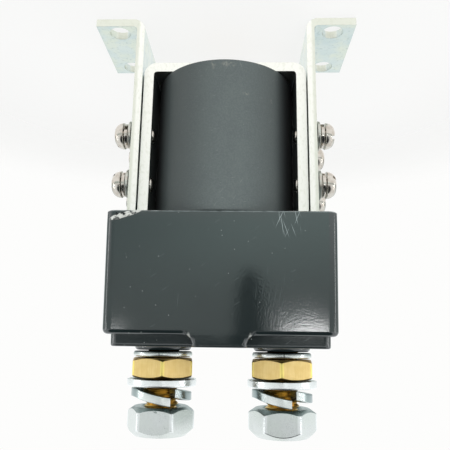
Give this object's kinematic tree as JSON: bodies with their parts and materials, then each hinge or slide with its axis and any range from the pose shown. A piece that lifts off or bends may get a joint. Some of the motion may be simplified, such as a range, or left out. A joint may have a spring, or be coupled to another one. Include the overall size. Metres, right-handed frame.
{
  "type": "dc contactor solenoid",
  "caption": "Golf cart solenoid: a DC contactor with a coil in a folded yoke, two bent mounting brackets and a moulded contact block carrying two threaded power studs.",
  "frame": {"origin": "middle of the mounting plane, which the undersides of the four tab ends share, on the axis of the coil and plunger", "axes": "+Z out of the mounting plane along the plunger's axis towards the terminal studs, +X from the left stud to the right stud, -Y the front face seen in the picture"},
  "size_m": [0.0808, 0.045, 0.1242],
  "materials": {
    "zinc_plate": "bright zinc plating, satin",
    "nickel_plate": "bright nickel plating",
    "plated_steel": "plated steel",
    "spring_steel": "bare spring wire",
    "brass": "turned brass, satin",
    "copper": "copper",
    "tin_plate": "tin plating",
    "block_plastic": "semi-gloss moulded black phenolic",
    "jacket_plastic": "matte moulded black",
    "nylon": "natural nylon"
  },
  "bodies": {
    "contactor": {"yoke_frame": "zinc_plate", "top_plate": "plated_steel", "mounting_bracket_left": "zinc_plate", "mounting_bracket_right": "zinc_plate", "bracket_screw_left_front_low": "nickel_plate", "bracket_screw_left_front_high": "nickel_plate", "bracket_screw_left_rear_low": "nickel_plate", "bracket_screw_left_rear_high": "nickel_plate", "bracket_screw_right_front_low": "nickel_plate", "bracket_screw_right_front_high": "nickel_plate", "bracket_screw_right_rear_low": "nickel_plate", "bracket_screw_right_rear_high": "nickel_plate", "bracket_lock_washer_left_front_low": "nickel_plate", "bracket_lock_washer_left_front_high": "nickel_plate", "bracket_lock_washer_left_rear_low": "nickel_plate", "bracket_lock_washer_left_rear_high": "nickel_plate", "bracket_lock_washer_right_front_low": "nickel_plate", "bracket_lock_washer_right_front_high": "nickel_plate", "bracket_lock_washer_right_rear_low": "nickel_plate", "bracket_lock_washer_right_rear_high": "nickel_plate", "bracket_flat_washer_left_front_low": "nickel_plate", "bracket_flat_washer_left_front_high": "nickel_plate", "bracket_flat_washer_left_rear_low": "nickel_plate", "bracket_flat_washer_left_rear_high": "nickel_plate", "bracket_flat_washer_right_front_low": "nickel_plate", "bracket_flat_washer_right_front_high": "nickel_plate", "bracket_flat_washer_right_rear_low": "nickel_plate", "bracket_flat_washer_right_rear_high": "nickel_plate", "coil_jacket": "jacket_plastic", "coil_bobbin": "nylon", "coil_winding": "copper", "coil_blade_left": "tin_plate", "coil_blade_right": "tin_plate", "guide_tube": "brass", "fixed_core": "plated_steel", "return_spring": "spring_steel", "contact_block": "block_plastic", "block_screw_front": "nickel_plate", "block_screw_rear": "nickel_plate", "terminal_stud_left": "brass", "terminal_stud_right": "brass", "seat_washer_left": "zinc_plate", "seat_washer_right": "zinc_plate", "brass_nut_left": "brass", "brass_nut_right": "brass", "flat_washer_left": "zinc_plate", "flat_washer_right": "zinc_plate", "spring_washer_left": "zinc_plate", "spring_washer_right": "zinc_plate", "steel_nut_left": "zinc_plate", "steel_nut_right": "zinc_plate"},
    "plunger": {"plunger": "plated_steel", "push_rod": "plated_steel", "spring_seat_collar": "plated_steel", "retaining_clip": "spring_steel", "contact_spring": "spring_steel"},
    "bridge": {"contact_bridge": "copper", "bridge_bush": "nylon"}
  },
  "joints": [
    {"name": "plunger_slide", "type": "slide", "parent": "contactor", "child": "plunger", "axis": [0, 0, 1], "range_m": [0, 0.004], "stiffness_N_per_m": 800, "springref_m": -0.004, "deforming": ["return_spring"]},
    {"name": "bridge_slide", "type": "slide", "parent": "plunger", "child": "bridge", "axis": [0, 0, 1], "range_m": [-0.001, 0], "deforming": ["contact_spring"]}
  ],
  "couplings": [
    {"joint": "bridge_slide", "follows": "plunger_slide", "ratio": -0.25}
  ]
}
